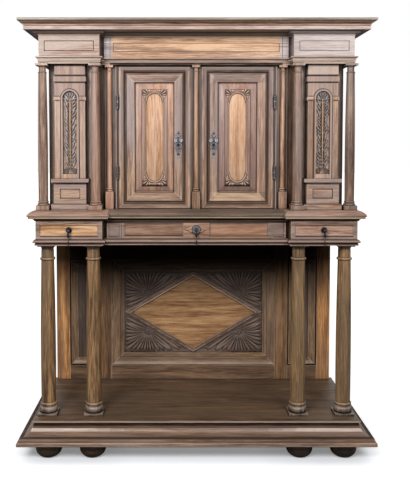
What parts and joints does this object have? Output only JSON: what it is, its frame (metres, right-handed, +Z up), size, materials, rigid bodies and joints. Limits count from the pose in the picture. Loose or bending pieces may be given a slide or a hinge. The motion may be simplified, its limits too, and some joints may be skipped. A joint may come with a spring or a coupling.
{
  "type": "court cupboard",
  "caption": "Oak court cupboard with an open columned stage, a tier of drawers and a two-door cupboard between niches under a wide crown moulding.",
  "frame": {"origin": "on the floor, under the middle of the base board", "axes": "+X to the right seen from the front, +Y towards the back, +Z up"},
  "size_m": [1.48, 0.575, 1.819],
  "materials": {
    "frame_oak": "old waxed oak, grey brown",
    "honey_oak": "old waxed oak, honey brown",
    "pale_oak": "old waxed oak, faded pinkish brown",
    "olive_oak": "old waxed oak, olive brown",
    "dark_oak": "old waxed oak, dark brown",
    "inside_oak": "dry oak, unwaxed",
    "iron": "dark wrought iron"
  },
  "bodies": {
    "carcass": {"back_stiles": "frame_oak", "back_rails": "frame_oak", "side_frames": "frame_oak", "corner_boards": "frame_oak", "door_posts": "frame_oak", "drawer_posts": "frame_oak", "drawer_case_frame": "frame_oak", "tier_floor": "frame_oak", "waist_board": "frame_oak", "cabinet_ceiling": "frame_oak", "cabinet_shelf": "frame_oak", "centre_frieze": "honey_oak", "door_columns": "honey_oak", "side_panels": "honey_oak", "back_panels": "honey_oak", "back_mouldings": "honey_oak", "lozenge_moulding": "honey_oak", "end_friezes": "pale_oak", "niche_panels": "pale_oak", "niche_pedestals": "pale_oak", "upper_columns": "pale_oak", "waist_moulding": "pale_oak", "tier_moulding": "pale_oak", "architrave_moulding": "pale_oak", "bed_moulding": "pale_oak", "lower_columns": "olive_oak", "bun_feet": "dark_oak", "base_board": "dark_oak", "base_moulding": "dark_oak", "pot_board": "dark_oak", "crown_moulding": "dark_oak", "top_board": "dark_oak", "base_bearers": "inside_oak", "drawer_runners": "inside_oak", "cabinet_back": "inside_oak", "crown_boards": "inside_oak", "hinge_pins": "iron"},
    "left_door": {"left_door_frame": "frame_oak", "left_door_panel": "honey_oak", "left_door_hinges": "iron", "left_door_lock": "iron"},
    "right_door": {"right_door_frame": "frame_oak", "right_door_panel": "honey_oak", "right_door_hinges": "iron", "right_door_lock": "iron"},
    "left_bolt": {"left_lock_bolt": "iron"},
    "right_bolt": {"right_lock_bolt": "iron"},
    "left_drawer": {"left_drawer_front": "honey_oak", "left_drawer_box": "inside_oak", "left_pull_plate": "iron"},
    "centre_drawer": {"centre_drawer_front": "honey_oak", "centre_drawer_box": "inside_oak", "centre_pull_plate": "iron"},
    "right_drawer": {"right_drawer_front": "honey_oak", "right_drawer_box": "inside_oak", "right_pull_plate": "iron"},
    "left_pull": {"left_pull_drop": "iron"},
    "centre_pull": {"centre_pull_drop": "iron"},
    "right_pull": {"right_pull_drop": "iron"}
  },
  "joints": [
    {"name": "left_door_hinge", "type": "hinge", "parent": "carcass", "child": "left_door", "pos_m": [-0.332, -0.14, 1.342], "axis": [0, 0, -1], "range_deg": [0, 105]},
    {"name": "right_door_hinge", "type": "hinge", "parent": "carcass", "child": "right_door", "pos_m": [0.332, -0.14, 1.342], "axis": [0, 0, 1], "range_deg": [0, 105]},
    {"name": "left_bolt_slide", "type": "slide", "parent": "left_door", "child": "left_bolt", "axis": [1, 0, 0], "range_m": [0, 0.012]},
    {"name": "right_bolt_slide", "type": "slide", "parent": "right_door", "child": "right_bolt", "axis": [-1, 0, 0], "range_m": [0, 0.012]},
    {"name": "left_drawer_slide", "type": "slide", "parent": "carcass", "child": "left_drawer", "axis": [0, -1, 0], "range_m": [0, 0.3]},
    {"name": "centre_drawer_slide", "type": "slide", "parent": "carcass", "child": "centre_drawer", "axis": [0, -1, 0], "range_m": [0, 0.3]},
    {"name": "right_drawer_slide", "type": "slide", "parent": "carcass", "child": "right_drawer", "axis": [0, -1, 0], "range_m": [0, 0.3]},
    {"name": "left_pull_hinge", "type": "hinge", "parent": "left_drawer", "child": "left_pull", "pos_m": [-0.52875, -0.2305, 0.95625], "axis": [-1, 0, 0], "range_deg": [0, 80]},
    {"name": "centre_pull_hinge", "type": "hinge", "parent": "centre_drawer", "child": "centre_pull", "pos_m": [0, -0.2055, 0.95625], "axis": [-1, 0, 0], "range_deg": [0, 80]},
    {"name": "right_pull_hinge", "type": "hinge", "parent": "right_drawer", "child": "right_pull", "pos_m": [0.52875, -0.2305, 0.95625], "axis": [-1, 0, 0], "range_deg": [0, 80]}
  ]
}
